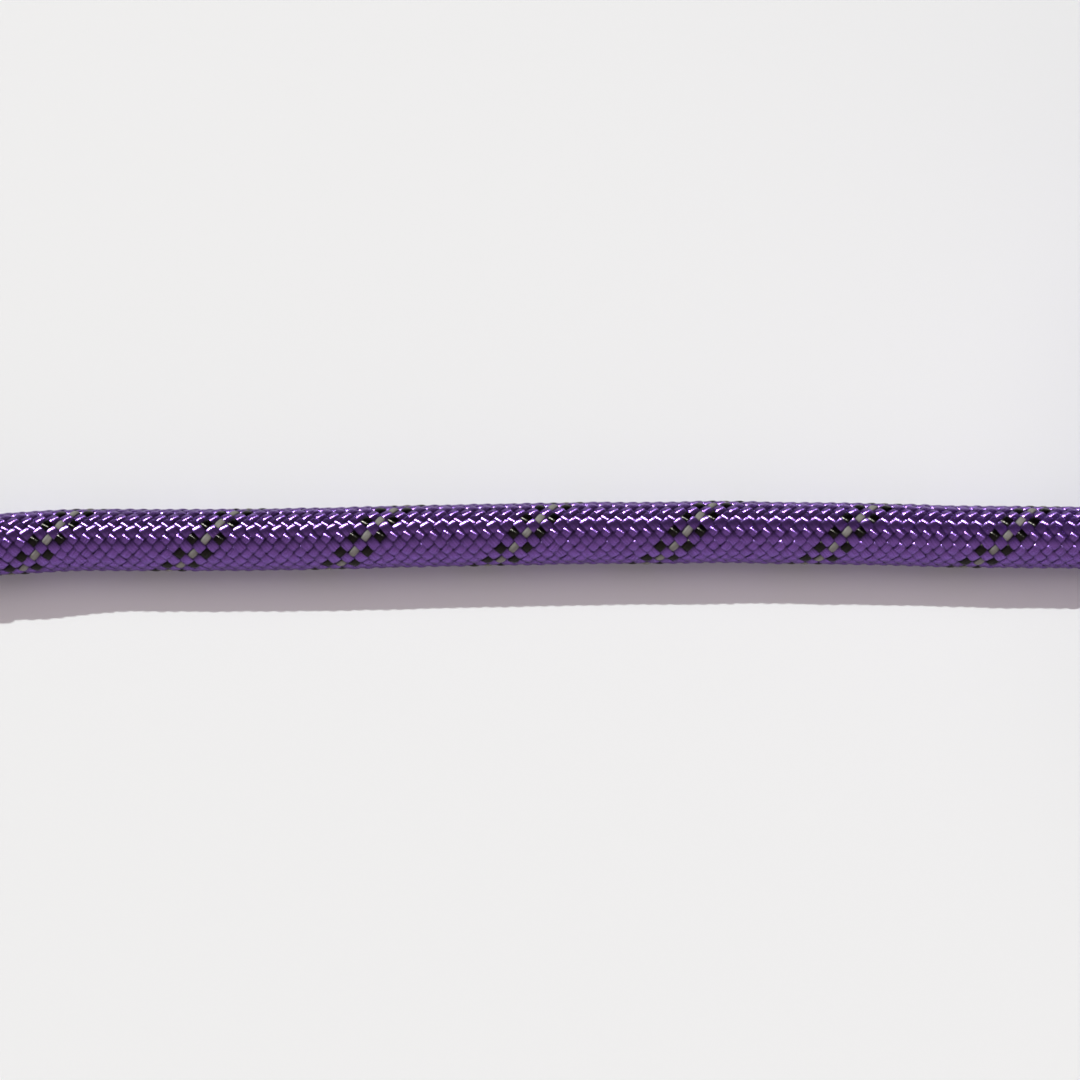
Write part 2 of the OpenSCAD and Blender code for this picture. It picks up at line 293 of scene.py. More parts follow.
# %% One loop from its parts
def loop_point(step, grow):
    """x and z of a loop at a step from 0 to 24, grown by so many millimetres from the inner one.
    Each part of the loop takes over from the last one at its own step; slopes are straight lines
    from the end of one arc to the start of the next."""
    bottom_x = FOLD_SPREAD * (2 * step / BOTTOM - 1)
    bottom_z = INNER_Z - grow + WAIST_RISE * (1 + np.cos(np.pi * bottom_x / FOLD_SPREAD)) / 2
    x, z = bottom_x, bottom_z
    fx, fz = fold_point(np.clip(step - BOTTOM, 0, FOLD_STEPS), grow)
    x, z = np.where(step >= BOTTOM, fx, x), np.where(step >= BOTTOM, fz, z)
    vx, vz = valley_point(np.clip(step - DOWN, 0, VALLEY_STEPS), grow)
    part = np.clip(step - FOLD, 0, 1)
    x = np.where(step >= FOLD, fx + (vx - fx) * part, x)
    z = np.where(step >= FOLD, fz + (vz - fz) * part, z)
    lx, lz = fold_point(np.clip(STEPS - step, 0, FOLD_STEPS), grow)
    part = np.clip(step - VALLEY, 0, 1)
    x = np.where(step >= VALLEY, vx + (-lx - vx) * part, x)
    z = np.where(step >= VALLEY, vz + (lz - vz) * part, z)
    return x, z


fold_top = loop_point(np.linspace(0, STEPS, 10 * STEPS + 1), OUTER_GROW)[1].max()
print("Top of the outermost fold:", round(float(fold_top), 1), "mm")


# %% The whole winding
def winding(per_step):
    """Loops one after the other. The lane grows with the step once the bottom run is done, and runs
    back in every second layer; the layer's distance shrinks by one step along the bottom run."""
    turns = LAYERS * LOOPS
    n = np.linspace(0, turns * STEPS, turns * STEPS * per_step, endpoint=False)
    step, turn = n % STEPS, n // STEPS
    layer = turn // LOOPS
    in_layer = turn - layer * LOOPS
    climb = np.where((in_layer == 0) & (layer > 0), np.clip(step / BOTTOM, 0, 1), 1)
    grow = np.minimum((LAYERS - layer - climb) * LAYER_STEP, OUTER_GROW)
    lane = in_layer + np.clip(step - BOTTOM, 0, None) / (STEPS - BOTTOM)
    lane = np.where(layer % 2 == 0, lane, LOOPS - lane)
    x, z = loop_point(step, grow)
    return np.stack([x, lane * LANE_STEP, z], axis=1)


def smoothed(path, width):
    """Running average with bell-shaped weights exp(-k^2 / 2 width^2); mirrored copies hold the
    ends."""
    k = np.arange(-3 * width, 3 * width + 1)
    weights = np.exp(-0.5 * (k / width) ** 2)
    weights /= weights.sum()
    pad = 3 * width
    head = 2 * path[0] - path[pad:0:-1]
    tail = 2 * path[-1] - path[-2:-pad - 2:-1]
    long_path = np.vstack([head, path, tail])
    return np.stack([np.convolve(long_path[:, c], weights, "valid") for c in range(3)], axis=1)


PER_STEP = 24  # points in each step
loops = winding(PER_STEP)
print("Winding:", len(loops), "points")

# %% Entry and tail of the hank, in millimetres
HALF = FOLD_SPREAD + FOLD_R + OUTER_GROW + ROPE_R / MM  # from the waist to the outer face
ENTRY_FLAT, ENTRY_LEN = 10.0, 33.0  # the rope comes in level, then sinks into the lowest run
ENTRY_SINK = 0.6 * GROUND_FLAT
TAIL_BACK = 9.0  # the tail ends this far before the fold's centre
TAIL_GAP = 0.15  # between its sleeve and the rope beside it
TAIL_SIDE = SLEEVE_R / MM - ROPE_R / MM + TAIL_GAP  # so far the tail steps aside
SLEEVE_LEN = (SLEEVE_HIGH[0] - SLEEVE_LOW[0]) / MM
tail_end = FOLD_SPREAD - TAIL_BACK - FUSED_LEN
tail_y = LOOPS * LANE_STEP
entry = np.array([(-HALF, 0, ROPE_R / MM), (-HALF + ENTRY_FLAT, 0, ROPE_R / MM),
                  (-HALF + ENTRY_LEN, 0, ROPE_R / MM - ENTRY_SINK)])
tail = np.array([
    (-FOLD_SPREAD, tail_y, INNER_Z),
    (-FOLD_SPREAD / 2, tail_y, INNER_Z + WAIST_RISE / 2),
    (0, tail_y, INNER_Z + WAIST_RISE),
    (FOLD_SPREAD / 4, tail_y + TAIL_SIDE / 2, INNER_Z + WAIST_RISE),
    (tail_end - SLEEVE_LEN, tail_y + TAIL_SIDE, INNER_Z + WAIST_RISE),
    (tail_end, tail_y + TAIL_SIDE, INNER_Z + WAIST_RISE),
])
print("The tail ends", round(tail_end, 1), "mm behind the waist")

# %% The hank as a path
FINE_STEP = 0.5 * MM
SOFTNESS = 6  # width of the running average, in fine steps
RING_STEP = 2.9 * MM  # from one ring of the finished tube to the next
hank_path = smoothed(even(np.vstack([entry, loops, tail]) * MM, FINE_STEP), SOFTNESS)
hank_path = even(hank_path, RING_STEP) + np.array([HANK_X, VIEW_Y, 0])
hank_path[0] = lead_path[-1]

# %% [markdown]
# ## Surfaces along a path
#
# Every soft piece here is a profile carried along a path. At each point of the path two directions
# span the cross plane: sideways, the part of Y that is square to the path, and up, square to both.


# %% Directions across a path
def cross_plane(path):
    """Sideways and up at each point: with t the slope, s = Y minus its share along t, u = t x s."""
    t = np.gradient(path, axis=0)
    t /= np.linalg.norm(t, axis=1, keepdims=True)
    s = np.array([0, 1, 0]) - t[:, 1:2] * t
    s /= np.linalg.norm(s, axis=1, keepdims=True)
    return s, np.cross(t, s)


# %% One mesh from one or more tubes
def grid_mesh(name, parts, closed=False):
    """One mesh from several tubes. Each part is (grid, uv, height): grid is rings x sides x 3, uv
    is rings x (sides + 1) x 2, so that the last side has its own value at the seam, and height
    tells the shader how far each vertex stands out. Open tubes get a cap at each end; closed ones
    join their last ring to the first."""
    verts, faces, uvs, heights, start = [], [], [], [], 0
    for grid, uv, height in parts:
        rings, sides = grid.shape[:2]
        i, k = np.meshgrid(np.arange(rings if closed else rings - 1), np.arange(sides), indexing="ij")
        j, m = (i + 1) % rings, (k + 1) % sides
        quads = np.stack([i * sides + k, i * sides + m, j * sides + m, j * sides + k], -1)
        faces += (quads.reshape(-1, 4) + start).tolist()
        nxt = (np.arange(len(i)) + 1) % len(uv)
        here = uv[:len(i)]
        uvs.append(np.stack([here[:, :-1], here[:, 1:], uv[nxt, 1:], uv[nxt, :-1]], 2).reshape(-1, 2))
        if not closed:
            faces += [list(range(start + sides - 1, start - 1, -1)),
                      list(range(start + (rings - 1) * sides, start + rings * sides))]
            uvs += [uv[0, :-1][::-1], uv[-1, :-1]]
        verts.append(grid.reshape(-1, 3))
        heights.append(np.broadcast_to(height, (rings, sides)).ravel())
        start += rings * sides
    mesh = bpy.data.meshes.new(name)
    mesh.from_pydata(np.vstack(verts).tolist(), [], faces)
    layer = mesh.uv_layers.new(name="yarn")
    layer.data.foreach_set("uv", np.vstack(uvs).astype(np.float32).ravel())
    values = mesh.attributes.new("height", "FLOAT", "POINT")
    values.data.foreach_set("value", np.concatenate(heights).astype(np.float32))
    mesh.shade_smooth()
    return mesh


# %% A round tube
def around_uv(path, sides, turns=1.0, unit=MM):
    """UV of a tube: x goes from 0 to turns once around, y is the running length in the unit."""
    x = np.linspace(0, turns, sides + 1)[None, :]
    y = (run_of(path) / unit)[:, None]
    return np.stack(np.broadcast_arrays(x, y), axis=-1)


def tube_grid(path, radius, sides):
    """Circles carried along a path: p + r (sin a * sideways + cos a * up)."""
    s, u = cross_plane(path)
    a = np.linspace(0, 2 * np.pi, sides, endpoint=False)[None, :, None]
    return path[:, None] + radius * (np.sin(a) * s[:, None] + np.cos(a) * u[:, None])


# %% A finished piece
def make_piece(name, mesh, material, body="root"):
    """A finished piece: an object at the origin that rides on the rope's one body."""
    obj = bpy.data.objects.new(name, mesh)
    bpy.context.scene.collection.objects.link(obj)
    obj.data.materials.append(material)
    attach(obj, body)
    print("Piece", name, "with", len(mesh.polygons), "faces")
    return obj


# %% [markdown]
# ## Yarn
#
# Sheath yarn is bright polyamide: hundreds of glassy filaments lie side by side, all along the
# band. Light glances off such a bundle in a thin streak across the filaments, as it does off a
# cylinder, so the shader is rough across the yarn and smooth along it. The streaks are what makes
# a rope sparkle, and each sits where the band bends over its neighbour at the right slope.

# %% Colours and finish of the yarns
PURPLE = "#704D9A"
BLACK = "#211F1D"
GREY = "#7E7C79"
PURPLE_GLOSS, BLACK_GLOSS, GREY_GLOSS = 0.85, 0.95, 0.0  # shares of light thrown back in dye colour
BRIGHT_SHINE, MATT_SHINE = 1.0, 0.15  # white light thrown back by the outer skin of the filaments
YARN_ROUGHNESS, GREY_ROUGHNESS = 0.25, 0.9
STREAKS = (6.0, 0.12, 1.0)  # light and dark streaks in a millimetre, across the yarn and along it
STREAK_DEPTH = 0.11 * MM
STREAK_DARK, STREAK_LIGHT = 0.85, 1.12  # how far the streaks change the dye's colour
DIVE, CREST = 0.37, 0.93  # heights between which a band comes out of the gap's shadow
# Painted shade in the dips and painted light on the crests: the dye's colour is scaled by these
DIVE_PAINTED_SHADE, CREST_PAINTED_LIGHT = 0.12, 1.09
print("Purple in linear light:", [round(c, 3) for c in linear(PURPLE)[:3]])


# %% Material: solution-dyed bright polyamide yarn
def yarn_material(name, colour, gloss, rough, shine):
    """Yarn. Light that enters a bright filament is thrown back from its far side, so most of the
    glow has the dye's colour: gloss is that share, and shine is the white glance off the skin.
    Grey reflective yarn has a matt skin, so it looks the same from all sides. Painted shade darkens
    the colour where a band dips under another, and painted light lifts it a little on its crest: 0 to
    1 of its height is turned into that tone. A real filament is 0.03 mm thick; the streaks are drawn
    five times as coarse, so that they show."""
    m, out = new_material(name)
    uv = add(m, "UVMap", uv_map="yarn")
    lines = add(m, "Mapping", {"Vector": uv, "Scale": STREAKS})
    fine = add(m, "TexNoise", {"Vector": lines, "Scale": 1.0, "Detail": 1.0})
    bump = add(m, "Bump", {"Height": fine, "Strength": 1.0, "Distance": STREAK_DEPTH})
    height = add(m, "Attribute", attribute_name="height").outputs["Fac"]
    # Painted shade: the colour is darkened where the band dips, and lifted a little on its crest
    painted_dive_shade = add(m, "MapRange", {0: height, 1: DIVE, 2: CREST, 3: DIVE_PAINTED_SHADE, 4: CREST_PAINTED_LIGHT},
                    interpolation_type="SMOOTHSTEP")
    tone = add(m, "MapRange", {0: fine, 1: 0.3, 2: 0.7, 3: STREAK_DARK, 4: STREAK_LIGHT})
    streak_tone_and_painted_shade = add(m, "Math", {0: tone, 1: painted_dive_shade}, operation="MULTIPLY")
    dye_and_painted_shade = add(m, "VectorMath", {0: linear(colour)[:3], "Scale": streak_tone_and_painted_shade}, operation="SCALE")
    tangent = add(m, "Tangent", direction_type="UV_MAP", uv_map="yarn")
    return finish_with(m, out, add(m, "BsdfPrincipled", {
        "Base Color": dye_and_painted_shade, "Roughness": rough, "Metallic": gloss, "Anisotropic": 1.0,
        "Tangent": tangent, "Specular IOR Level": shine, "Normal": bump}))


purple_yarn = yarn_material("purple_polyamide_yarn", PURPLE, PURPLE_GLOSS, YARN_ROUGHNESS, BRIGHT_SHINE)
black_yarn = yarn_material("black_polyamide_yarn", BLACK, BLACK_GLOSS, YARN_ROUGHNESS, BRIGHT_SHINE)
grey_yarn = yarn_material("grey_reflective_yarn", GREY, GREY_GLOSS, GREY_ROUGHNESS, MATT_SHINE)

# %% [markdown]
# ## The woven sheath
#
# In a one-over-one braid every band rises and falls once per cell. All bands of one direction are
# high at the same places along the rope, and those of the other direction are high half a cell
# further on. So a band's distance from the rope's axis depends on the length run alone. With
# t = 2 pi s / cell it is R + A cos t for the bands that wind to the right. The left ones are laid a
# little tighter, and the braiding machine pulls them down faster than it lets them up:
# R - B (cos t - 0.15 sin 2t - 0.04 cos 3t).

# %% Sizes of a band of yarn, in metres
RIGHT = 1
LEFT = -1
RIGHT_W = 1.55 * MM
LEFT_W = 1.8 * MM
GREY_W = 1.2 * MM  # the reflective yarn is a narrow film
BAND_T = 0.66 * MM
RISE = 0.2 * MM
LEFT_RISE = 0.172 * MM
LEFT_LEAN = 0.15  # the left bands fall faster than they rise,
LEFT_FLAT = 0.04  # and they lie flatter on top
BAND_R = ROPE_R - RISE - BAND_T / 2
TRACER_X = VIEW_X - 2.07 * MM  # a grey cell of the tracer comes to the top of the rope here
TRACER_ANGLE = math.radians(2.5) - TILT  # the camera's "top" of the rope leans with it
print("Middle of a band:", round(BAND_R / MM, 2), "mm from the rope's axis")

# %% [markdown]
# No band lies quite evenly: its height and its place round the rope sway by less than a tenth of a
# millimetre, in slow sine waves whose start differs from band to band. Without them the streaks of
# light would stand in rows as straight as print.

# %% How uneven the bands are
UNEVEN = 0.04 * MM
UNEVEN_TURN = math.radians(1.1)
SHORT_SWAY, LONG_SWAY, TURN_SWAY = 1.31, 0.47, 0.83  # radians in a millimetre of rope
SHORT_START, LONG_START, TURN_START = 3.1, 1.7, 2.3  # radians from a band to the next, times BAND_SEED
BAND_SEED = 2.4
print("A band sways sideways by", round(UNEVEN_TURN * ROPE_R / MM, 3), "mm")


# %% The way of a band
PER_CELL = 12  # rings of a band in one cell


def band_way(path, band, way):
    """Rope's axis, and the middle, across and outwards directions of a band, ring by ring. Its
    middle is p + r (sin a * sideways + cos a * up): a turns evenly along the rope, and r is the
    wave of the cell above, both with their sways."""
    run = run_of(path)
    count = int(run[-1] / CELL * PER_CELL)
    s = np.linspace(0, run[-1], count)
    p = np.stack([np.interp(s, run, path[:, c]) for c in range(3)], axis=1)
    side, up = cross_plane(p)
    from_tracer = p[:, 0] - TRACER_X
    a = TRACER_ANGLE + way * 2 * np.pi * from_tracer / PITCH + 2 * np.pi * band / BANDS
    turn = 2 * np.pi * from_tracer / CELL
    wave = RISE * np.cos(turn)
    if way == LEFT:
        wave = LEFT_RISE * (-np.cos(turn) + LEFT_LEAN * np.sin(2 * turn)
                            + LEFT_FLAT * np.cos(3 * turn))
    seed = BAND_SEED * band + way
    uneven = (np.sin(SHORT_SWAY * s / MM + SHORT_START * seed)
              * np.sin(LONG_SWAY * s / MM + LONG_START * seed))
    r = BAND_R + wave + UNEVEN * uneven
    a += UNEVEN_TURN * np.sin(TURN_SWAY * s / MM + TURN_START * seed)
    out = np.sin(a)[:, None] * side + np.cos(a)[:, None] * up
    middle = p + r[:, None] * out
    along = np.gradient(middle, axis=0)
    along /= np.linalg.norm(along, axis=1, keepdims=True)
    across = np.cross(along, out)
    across /= np.linalg.norm(across, axis=1, keepdims=True)
    return p, middle, across, np.cross(across, along)


# %% The surface of a band
BAND_SIDES = 12
FLANK, FACE = 0.85, 0.65  # below 1 the section is squarer than an ellipse
LOW_R = 4.45 * MM  # as deep as the eye sees between bands
UV_SHIFT = 7.3  # mm, so that no two bands have the same streaks


def band_grid(path, band, way, width):
    """A flattened round section carried along the band's middle: half the width times
    |cos q| ** 0.85 across and half the thickness times |sin q| ** 0.65 outwards, each with its
    sign. A vertex's height goes from 0 at LOW_R to 1 at the rope's own radius."""
    p, middle, across, outwards = band_way(path, band, way)
    q = np.linspace(0, 2 * np.pi, BAND_SIDES, endpoint=False)
    c, s = np.cos(q), np.sin(q)
    x = np.sign(c) * np.abs(c) ** FLANK * width / 2
    z = np.sign(s) * np.abs(s) ** FACE * BAND_T / 2
    grid = (middle[:, None] + x[None, :, None] * across[:, None]
            + z[None, :, None] * outwards[:, None])
    length = run_of(middle) / MM
    around = np.linspace(0, 2 * (width + BAND_T) / MM, BAND_SIDES + 1)
    uv = np.stack(np.broadcast_arrays(around[None, :] + UV_SHIFT * band, length[:, None]), axis=-1)
    distance_out = np.linalg.norm(grid - p[:, None], axis=2)
    return grid, uv, np.clip((distance_out - LOW_R) / (ROPE_R - LOW_R), 0, 1)


# %% Make the bands
GROUPS = [
    ("sheath_yarns_right_a", purple_yarn, RIGHT, [2, 3, 4, 5, 6], RIGHT_W),
    ("sheath_yarns_right_b", purple_yarn, RIGHT, [7, 8, 9, 10], RIGHT_W),
    ("sheath_yarns_left_a", purple_yarn, LEFT, [0, 1, 2, 3, 4, 5], LEFT_W),
    ("sheath_yarns_left_b", purple_yarn, LEFT, [6, 7, 8, 9, 10, 11], LEFT_W),
    ("tracer_yarns_black", black_yarn, RIGHT, [1, 11], RIGHT_W),
    ("tracer_yarn_grey", grey_yarn, RIGHT, [0], GREY_W),
]
for name, material, way, bands, width in GROUPS:
    mesh = grid_mesh(name, [band_grid(lead_path, band, way, width) for band in bands])
    piece = make_piece(name, mesh, material)

# %% [markdown]
# ## Behind the bands
#
# Through the small gaps between bands the eye sees only shade. A plain tube, painted in the
# colour of that shade, stands for it.

# %% Inside of the sheath, along the straight stretch
# Painted shade: the tube gets the colour of yarn in deep shadow, not that of the white core under it
GAP_SHADE = "#12081C"  # purple yarn in its own shadow, so it gives the eye almost nothing
INSIDE_R = 4.35 * MM
INSIDE_SIDES = 24
m, out = new_material("sheath_inside_painted_shade")
painted_shade_material = finish_with(m, out, add(m, "BsdfPrincipled", {
    "Base Color": linear(GAP_SHADE), "Roughness": 0.9, "Specular IOR Level": 0.1}))
inside_grid = tube_grid(lead_path, INSIDE_R, INSIDE_SIDES)
inside = make_piece("sheath_inside_painted_shade", grid_mesh(
    "sheath_inside_painted_shade", [(inside_grid, around_uv(lead_path, INSIDE_SIDES), 0)]), painted_shade_material)
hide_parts("sheath_lead")

# %% [markdown]
# ## The put-away part
#
# The other 9.7 m show the same weave, seen from further off. A full set of bands would be more
# than ten million faces, so here the weave is told by the shader: it works out, from the angle
# round the rope and the length run, which band is on top, and lets the bands rise and fall by the
# same cosine wave.

# %% Sizes of the weave as a pattern
SPACING = math.pi * ROPE_D / BANDS
LAY = math.atan(SPACING / CELL)  # angle between a band and the rope
HALF_BAND = 0.475  # half the width of a band, in spacings
ROUNDING = 0.55  # how high a band's rounded section stands, beside a wave of 1
SAME = 0.4  # two band numbers that differ by less are the same band
WEAVE_DIVE, WEAVE_CREST = 0.35, 1.25  # heights between which a band comes out of the shadow
# Painted shade: the dye's colour is scaled down to this where a band dives
WEAVE_PAINTED_SHADE = 0.05
WEAVE_SHINE = 0.5  # seen from further off, each glance is smaller than the eye can part
print("Bands cross the rope at", round(math.degrees(LAY), 1), "degrees")


# %% The two bands at each place of the pattern
def weave_bands(m, x, y):
    """x counts band spacings around the rope and y counts cells along it. The number of a band is
    x - y rounded for the right ones and x + y rounded for the left ones, and d is what the rounding
    took. The band's height is 0.55 sqrt(1 - (d / 0.475)^2) plus or minus cos(2 pi y)."""
    wave = add(m, "Math", {0: add(m, "Math", {0: y, 1: 2 * math.pi}, operation="MULTIPLY")},
               operation="COSINE")
    bands, heights = [], []
    for way in (RIGHT, LEFT):
        turned = add(m, "Math", {0: y, 1: -way, 2: x}, operation="MULTIPLY_ADD")
        bands.append(add(m, "Math", {0: turned}, operation="ROUND"))
        off = add(m, "Math", {0: turned, 1: bands[-1]}, operation="SUBTRACT")
        square = add(m, "Math", {0: off, 1: off}, operation="MULTIPLY")
        section = add(m, "Math", {0: square, 1: -1 / HALF_BAND**2, 2: 1.0}, operation="MULTIPLY_ADD")
        section = add(m, "Math", {0: add(m, "Math", {0: section, 1: 0.0}, operation="MAXIMUM")},
                      operation="SQRT")
        lift = add(m, "Math", {0: wave, 1: float(way)}, operation="MULTIPLY")
        heights.append(add(m, "Math", {0: section, 1: ROUNDING, 2: lift}, operation="MULTIPLY_ADD"))
    return bands, heights


# %% Which yarn the pattern shows
def weave_yarns(m, right_band, right_on_top):
    """The right band of number 0 is grey and its two neighbours are black, where they are on top;
    all other bands are purple. Numbers are wrapped to -6..6 first. Gives colour, gloss, roughness."""
    from_grey = add(m, "Math", {0: right_band, 1: BANDS / 2, 2: -BANDS / 2}, operation="WRAP")
    from_grey = add(m, "Math", {0: from_grey}, operation="ABSOLUTE")
    marks = []
    for distance in (0, 1):
        mark = add(m, "Math", {0: from_grey, 1: distance, 2: SAME}, operation="COMPARE")
        marks.append(add(m, "Math", {0: mark, 1: right_on_top}, operation="MULTIPLY"))
    grey, black = marks
    colour = add(m, "Mix", {0: grey, 6: linear(PURPLE), 7: linear(GREY)}, data_type="RGBA")
    colour = add(m, "Mix", {0: black, 6: colour.outputs[2], 7: linear(BLACK)}, data_type="RGBA")
    gloss = add(m, "Mix", {0: grey, 2: PURPLE_GLOSS, 3: GREY_GLOSS})
    gloss = add(m, "Mix", {0: black, 2: gloss, 3: BLACK_GLOSS})
    return colour.outputs[2], gloss, add(m, "Mix", {0: grey, 2: YARN_ROUGHNESS, 3: GREY_ROUGHNESS})


# %% Which way the fibres run
def weave_fibres(m, right_on_top):
    """Along the band on top: cos(lay) times the direction along the rope, plus or minus sin(lay)
    times the one around it. Along is the cross product of around and outwards."""
    around = add(m, "Tangent", direction_type="UV_MAP", uv_map="yarn")
    outwards = add(m, "NewGeometry").outputs["Normal"]
    along = add(m, "VectorMath", {0: around, 1: outwards}, operation="CROSS_PRODUCT")
    along = add(m, "VectorMath", {0: along, "Scale": math.cos(LAY)}, operation="SCALE")
    turn = add(m, "MapRange", {0: right_on_top, 3: -math.sin(LAY), 4: math.sin(LAY)})
    around = add(m, "VectorMath", {0: around, "Scale": turn}, operation="SCALE")
    return add(m, "VectorMath", {0: along, 1: around}, operation="ADD")


# %% Material: the weave as a pattern
def weave_material(name):
    """The higher of the two bands at a place is on top, and gives it colour and fibres. Painted shade
    darkens the colour where that band dives, and its height is the bump. To the eye it is the same
    bright yarn as that of the bands."""
    m, out = new_material(name)
    place = add(m, "SeparateXYZ", {0: add(m, "UVMap", uv_map="yarn")})
    bands, heights = weave_bands(m, place.outputs[0], place.outputs[1])
    high = add(m, "Math", {0: heights[0], 1: heights[1]}, operation="MAXIMUM")
    right_on_top = add(m, "Math", {0: heights[0], 1: heights[1]}, operation="GREATER_THAN")
    colour, gloss, rough = weave_yarns(m, bands[0], right_on_top)
    # Painted shade: the colour is darkened where the band on top dives
    painted_dive_shade = add(m, "MapRange", {0: high, 1: WEAVE_DIVE, 2: WEAVE_CREST, 3: WEAVE_PAINTED_SHADE, 4: 1.0},
                    interpolation_type="SMOOTHSTEP")
    dye_and_painted_shade = add(m, "VectorMath", {0: colour, "Scale": painted_dive_shade}, operation="SCALE")
    bump = add(m, "Bump", {"Height": high, "Strength": 1.0, "Distance": RISE})
    return finish_with(m, out, add(m, "BsdfPrincipled", {
        "Base Color": dye_and_painted_shade, "Roughness": rough, "Metallic": gloss, "Anisotropic": 1.0,
        "Tangent": weave_fibres(m, right_on_top), "Specular IOR Level": WEAVE_SHINE,
        "Normal": bump}))


weave = weave_material("woven_sheath")

# %% The hank as one tube
HANK_SIDES = 24
hank_grid = tube_grid(hank_path, ROPE_R, HANK_SIDES)
hank_grid[..., 2] = np.maximum(hank_grid[..., 2], 0)
hank_uv = around_uv(hank_path, HANK_SIDES, BANDS, CELL)
hank_uv[..., 0] -= TRACER_ANGLE / (2 * np.pi) * BANDS
hank_uv[..., 1] += (hank_path[0][0] - TRACER_X) / CELL
hank = make_piece("hank", grid_mesh("hank", [(hank_grid, hank_uv, 1)]), weave)
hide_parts("rope_hank")

# %% [markdown]
# ## Ends
#
# Both ends are cut with a hot knife: core and sheath melt into one hard disc, and a sleeve of
# shrunk tube is pulled over the last 18 mm so that the sheath can't slip back. The sleeve shows
# the weave under it as faint bumps, and its rims are thin and a little wavy.

# %% Material: melted polyamide
# It set from a melt, so it is hard and glossy like a boiled sweet, with pale blotches where core
# strands ran together and dark ones of dyed sheath.
MELTED_DARK, MELTED_PALE = "#2A1B38", "#8E7C8C"
m, out = new_material("fused_polyamide")
place = add(m, "TexCoord").outputs["Object"]
blotch = add(m, "TexNoise", {"Vector": place, "Scale": 0.9 / MM, "Detail": 3.0})  # 1.1 mm wide
blotch = add(m, "MapRange", {0: blotch, 1: 0.4, 2: 0.62})
melted = add(m, "Mix", {0: blotch, 6: linear(MELTED_DARK), 7: linear(MELTED_PALE)}, data_type="RGBA")
bump = add(m, "Bump", {"Height": blotch, "Strength": 0.6, "Distance": 0.15 * MM})
fused_material = finish_with(m, out, add(m, "BsdfPrincipled", {
    "Base Color": melted.outputs[2], "Roughness": 0.28, "IOR": 1.53, "Normal": bump}))

# %% Material: shrunk polyolefin sleeve
# Extruded and shrunk with hot air, it has a soft, satin black skin. Its real grain is some
# hundredths of a millimetre; it is drawn 0.4 mm wide, so that it shows.
SLEEVE_BLACK = "#17171A"
m, out = new_material("shrunk_polyolefin_sleeve")
place = add(m, "TexCoord").outputs["Object"]
grain = add(m, "TexNoise", {"Vector": place, "Scale": 2.5 / MM, "Detail": 2.0})
bump = add(m, "Bump", {"Height": grain, "Strength": 0.3, "Distance": 0.04 * MM})
sleeve_material = finish_with(m, out, add(m, "BsdfPrincipled", {
    "Base Color": linear(SLEEVE_BLACK), "Roughness": 0.42, "IOR": 1.5, "Normal": bump}))

# %% Shape of a sleeve
SLEEVE_WALL = 0.4 * MM
RIM = 0.5 * MM  # over this length the wall gets thin
RIM_LOSS = 0.3 * MM
WEAVE_SHOWS = 0.06 * MM  # how deep the sleeve sinks between the bands
SLEEVE_SIDES, SLEEVE_ROWS = 72, 46


def sleeve_mesh(name, low, high):
    """A closed ring of wall: out along the outside and back along the bore, round the x axis. The
    outside is R - 0.06 mm (1 - weave) - 0.3 mm thin, where weave is the product of two cosines
    that wind both ways, and thin is a quarter of a circle over the last half millimetre."""
    y, z = (low[1] + high[1]) / 2, (low[2] + high[2]) / 2
    x = np.linspace(low[0], high[0], SLEEVE_ROWS)
    edge = np.minimum(x - low[0], high[0] - x) / RIM
    thin = (1 - np.sqrt(1 - (1 - np.clip(edge, 0, 1)) ** 2))[:, None]
    a = np.linspace(0, 2 * np.pi, SLEEVE_SIDES, endpoint=False)
    weave_x = (x - low[0])[:, None] / CELL * 2 * np.pi
    bumps = 0.5 + 0.5 * np.cos(weave_x + BANDS * a) * np.cos(weave_x - BANDS * a)
    outer = SLEEVE_R - WEAVE_SHOWS * (1 - bumps) * (1 - thin) - RIM_LOSS * thin
    inner = np.full((SLEEVE_ROWS, SLEEVE_SIDES), SLEEVE_R - SLEEVE_WALL)
    radius = np.vstack([outer, inner[::-1]])
    along = np.concatenate([x, x[::-1]])
    grid = np.stack([np.broadcast_to(along[:, None], radius.shape), y + radius * np.sin(a),
                     z + radius * np.cos(a)], axis=-1)
    uv = np.stack(np.broadcast_arrays(np.linspace(0, 1, SLEEVE_SIDES + 1)[None, :],
                                      along[:, None] / MM), axis=-1)
    return grid_mesh(name, [(grid, uv, 1)], closed=True)


print("Bore of the sleeve:", round(2 * (SLEEVE_R - SLEEVE_WALL) / MM, 2), "mm")

# %% Shape of a melted end
DISC_SIDES = 48
# Rings from the middle of the face out to the rim, over it and back to the middle of the inside:
# their share of the radius and of the disc's length.
DISC_SHARE = np.array([0.02, 0.15, 0.3, 0.45, 0.6, 0.74, 0.86, 0.94, 0.98, 1, 1, 0.6, 0.02])
DISC_DEPTH = np.array([0, 0, 0, 0, 0, 0.01, 0.05, 0.14, 0.25, 0.4, 0.99, 1, 1])
LUMP_MEAN, LUMP_WIDE, LUMP_SMALL = 0.065, 0.035, 0.03  # shares of the disc's length
RIM_WAVE = 0.012


